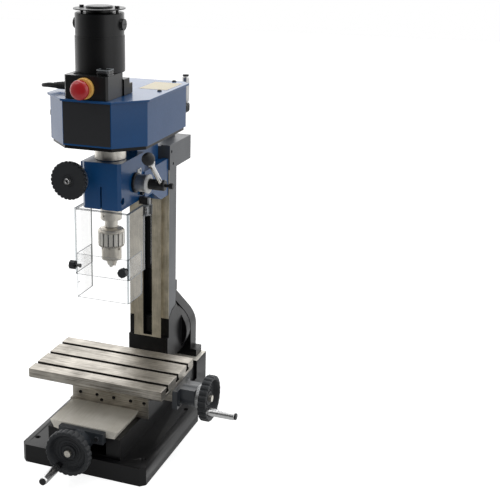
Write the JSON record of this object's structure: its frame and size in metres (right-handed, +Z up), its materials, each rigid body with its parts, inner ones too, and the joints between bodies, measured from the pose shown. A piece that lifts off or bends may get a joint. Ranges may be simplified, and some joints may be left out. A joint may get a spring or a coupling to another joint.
{
  "type": "benchtop milling machine",
  "caption": "Benchtop mill and drill: tilting dovetail column, cross table on leadscrews, head with rack-fed quill, geared spindle, drill chuck and clear chuck guard.",
  "frame": {"origin": "on the base's resting face, below the middle of the table at rest", "axes": "X along the table to the right, Y back to the column, Z up"},
  "size_m": [0.352, 0.5108, 0.7421],
  "materials": {
    "black_casting": "semi-gloss black enamel",
    "grey_casting": "satin grey enamel",
    "blue_enamel": "gloss blue enamel",
    "ground_iron": "ground and oiled",
    "turned_steel": "turned",
    "chrome_steel": "polished",
    "bronze": "machined",
    "black_plastic": "fine texture",
    "red_plastic": "gloss",
    "yellow_plastic": "satin",
    "clear_plastic": "clear sheet",
    "circuit_green": "lacquered"
  },
  "bodies": {
    "base": {"base_casting": "black_casting", "tilt_bracket": "grey_casting", "y_bearing_bracket": "grey_casting", "pivot_bolt": "turned_steel"},
    "y_wheel": {"y_leadscrew": "turned_steel", "y_handwheel": "black_plastic", "y_dial": "turned_steel"},
    "y_grip": {"y_handle": "chrome_steel"},
    "saddle": {"saddle": "ground_iron", "cross_nut": "bronze"},
    "table": {"table": "ground_iron", "x_bearing_bracket": "grey_casting"},
    "x_wheel": {"x_leadscrew": "turned_steel", "x_handwheel": "black_plastic", "x_dial": "turned_steel"},
    "x_grip": {"x_handle": "chrome_steel"},
    "column": {"column": "ground_iron", "column_foot": "black_casting", "column_top_block": "grey_casting"},
    "z_wheel": {"z_leadscrew": "turned_steel", "z_handwheel": "black_plastic"},
    "z_grip": {"z_handle": "chrome_steel"},
    "head": {"head_casting": "blue_enamel", "upper_sleeve": "turned_steel", "z_nut": "bronze", "gear_plate": "black_casting", "gear_housing": "blue_enamel", "housing_lid": "blue_enamel", "speed_board": "circuit_green", "control_box": "black_plastic", "control_lead": "black_plastic", "strain_relief": "black_plastic", "estop_collar": "yellow_plastic", "motor_bracket": "black_casting", "motor_body": "black_casting", "depth_collar": "turned_steel", "guard_bracket": "turned_steel"},
    "estop": {"estop_button": "red_plastic"},
    "switch": {"power_switch": "black_plastic"},
    "speed": {"speed_knob": "black_plastic"},
    "rotor": {"motor_rotor": "turned_steel"},
    "gear": {"spindle_gear": "turned_steel"},
    "quill": {"quill": "turned_steel"},
    "spindle": {"spindle": "turned_steel", "chuck_body": "turned_steel"},
    "chuck_ring": {"chuck_sleeve": "chrome_steel"},
    "jaw_1": {"chuck_jaw_1": "chrome_steel"},
    "jaw_2": {"chuck_jaw_2": "chrome_steel"},
    "jaw_3": {"chuck_jaw_3": "chrome_steel"},
    "feed_shaft": {"feed_pinion_shaft": "turned_steel", "feed_lever": "turned_steel", "lever_ball": "black_plastic"},
    "fine_feed": {"fine_feed_shaft": "turned_steel", "fine_feed_knob": "black_plastic"},
    "quill_lock": {"quill_lock_screw": "black_casting"},
    "head_lock": {"head_lock_screw": "black_casting"},
    "guard": {"guard_shield": "clear_plastic"},
    "guard_lower": {"guard_slider": "clear_plastic"},
    "knob_front": {"guard_knob_front": "black_plastic"},
    "knob_side": {"guard_knob_side": "black_plastic"}
  },
  "joints": [
    {"name": "y_wheel_turn", "type": "hinge", "parent": "base", "child": "y_wheel", "pos_m": [0, -0.16, 0.061], "axis": [0, -1, 0], "range_deg": [-6660, 6660]},
    {"name": "y_grip_spin", "type": "hinge", "parent": "y_wheel", "child": "y_grip", "pos_m": [-0.01731, -0.2, 0.03528], "axis": [0, -1, 0], "continuous": true},
    {"name": "saddle_slide", "type": "slide", "parent": "base", "child": "saddle", "axis": [0, 1, 0], "range_m": [-0.037, 0.037]},
    {"name": "table_slide", "type": "slide", "parent": "saddle", "child": "table", "axis": [1, 0, 0], "range_m": [-0.04, 0.075]},
    {"name": "x_wheel_turn", "type": "hinge", "parent": "table", "child": "x_wheel", "pos_m": [0.17, 0.005, 0.1125], "axis": [1, 0, 0], "range_deg": [-7200, 13500]},
    {"name": "x_grip_spin", "type": "hinge", "parent": "x_wheel", "child": "x_grip", "pos_m": [0.2, -0.02481, 0.10398], "axis": [1, 0, 0], "continuous": true},
    {"name": "column_tilt", "type": "hinge", "parent": "base", "child": "column", "pos_m": [0, 0.245, 0.125], "axis": [0, -1, 0], "range_deg": [-45, 45]},
    {"name": "z_wheel_turn", "type": "hinge", "parent": "column", "child": "z_wheel", "pos_m": [0, 0.25, 0.52], "axis": [0, 0, 1], "range_deg": [-2700, 21600]},
    {"name": "z_grip_spin", "type": "hinge", "parent": "z_wheel", "child": "z_grip", "pos_m": [0.02913, 0.2606, 0.57], "axis": [0, 0, 1], "continuous": true},
    {"name": "head_slide", "type": "slide", "parent": "column", "child": "head", "axis": [0, 0, -1], "range_m": [-0.015, 0.12]},
    {"name": "estop_press", "type": "slide", "parent": "head", "child": "estop", "axis": [0, 1, 0], "range_m": [0, 0.004], "stiffness_N_per_m": 400},
    {"name": "power_switch_rock", "type": "hinge", "parent": "head", "child": "switch", "pos_m": [0.0265, -0.07, 0.6446], "axis": [1, 0, 0], "range_deg": [0, 24]},
    {"name": "speed_knob_turn", "type": "hinge", "parent": "head", "child": "speed", "pos_m": [-0.088, -0.008, 0.572], "axis": [-1, 0, 0], "range_deg": [0, 270]},
    {"name": "rotor_spin", "type": "hinge", "parent": "head", "child": "rotor", "pos_m": [0, -0.027, 0.66], "axis": [0, 0, 1], "continuous": true},
    {"name": "gear_spin", "type": "hinge", "parent": "head", "child": "gear", "pos_m": [0, 0.005, 0.56], "axis": [0, 0, 1], "continuous": true},
    {"name": "quill_slide", "type": "slide", "parent": "head", "child": "quill", "axis": [0, 0, -1], "range_m": [0, 0.03]},
    {"name": "spindle_spin", "type": "hinge", "parent": "quill", "child": "spindle", "pos_m": [0, 0.005, 0.45], "axis": [0, 0, 1], "continuous": true},
    {"name": "chuck_ring_turn", "type": "hinge", "parent": "spindle", "child": "chuck_ring", "pos_m": [0, 0.005, 0.367], "axis": [0, 0, 1], "range_deg": [0, 1440]},
    {"name": "jaw_1_slide", "type": "slide", "parent": "spindle", "child": "jaw_1", "axis": [0.0582, -0.2522, 0.9659], "range_m": [0, 0.008]},
    {"name": "jaw_2_slide", "type": "slide", "parent": "spindle", "child": "jaw_2", "axis": [0.1893, 0.1765, 0.9659], "range_m": [0, 0.008]},
    {"name": "jaw_3_slide", "type": "slide", "parent": "spindle", "child": "jaw_3", "axis": [-0.2475, 0.0757, 0.9659], "range_m": [0, 0.008]},
    {"name": "fine_feed_turn", "type": "hinge", "parent": "head", "child": "fine_feed", "pos_m": [-0.043, -0.06, 0.475], "axis": [0, -1, 0], "range_deg": [0, 4300]},
    {"name": "feed_lever_turn", "type": "hinge", "parent": "head", "child": "feed_shaft", "pos_m": [0.06, 0.026, 0.46], "axis": [1, 0, 0], "range_deg": [0, 215]},
    {"name": "quill_lock_turn", "type": "hinge", "parent": "head", "child": "quill_lock", "pos_m": [0.028, -0.022, 0.4405], "axis": [1, 0, 0], "range_deg": [0, 180]},
    {"name": "head_lock_turn", "type": "hinge", "parent": "head", "child": "head_lock", "pos_m": [0.036, 0.0497, 0.4377], "axis": [1, 0, 0], "range_deg": [0, 180]},
    {"name": "guard_swing", "type": "hinge", "parent": "head", "child": "guard", "pos_m": [0.049, 0.046, 0.412], "axis": [0, 0, 1], "range_deg": [0, 100]},
    {"name": "guard_slider_slide", "type": "slide", "parent": "guard", "child": "guard_lower", "axis": [0, 0, 1], "range_m": [0, 0.025]},
    {"name": "guard_knob_front_turn", "type": "hinge", "parent": "guard", "child": "knob_front", "pos_m": [0.039, -0.036, 0.3265], "axis": [0, -1, 0], "range_deg": [0, 180]},
    {"name": "guard_knob_side_turn", "type": "hinge", "parent": "guard", "child": "knob_side", "pos_m": [-0.056, -0.021, 0.3225], "axis": [-1, 0, 0], "range_deg": [0, 180]}
  ],
  "couplings": [
    {"joint": "y_wheel_turn", "follows": "saddle_slide", "rad_per_m": -3141.6},
    {"joint": "x_wheel_turn", "follows": "table_slide", "rad_per_m": 3141.6},
    {"joint": "z_wheel_turn", "follows": "head_slide", "rad_per_m": 3141.6},
    {"joint": "gear_spin", "follows": "rotor_spin", "ratio": -0.42857},
    {"joint": "spindle_spin", "follows": "rotor_spin", "ratio": -0.42857},
    {"joint": "jaw_1_slide", "follows": "chuck_ring_turn", "m_per_rad": 0.00031791},
    {"joint": "jaw_2_slide", "follows": "chuck_ring_turn", "m_per_rad": 0.00031791},
    {"joint": "jaw_3_slide", "follows": "chuck_ring_turn", "m_per_rad": 0.00031791},
    {"joint": "feed_lever_turn", "follows": "quill_slide", "rad_per_m": 125},
    {"joint": "fine_feed_turn", "follows": "quill_slide", "rad_per_m": 2500}
  ]
}
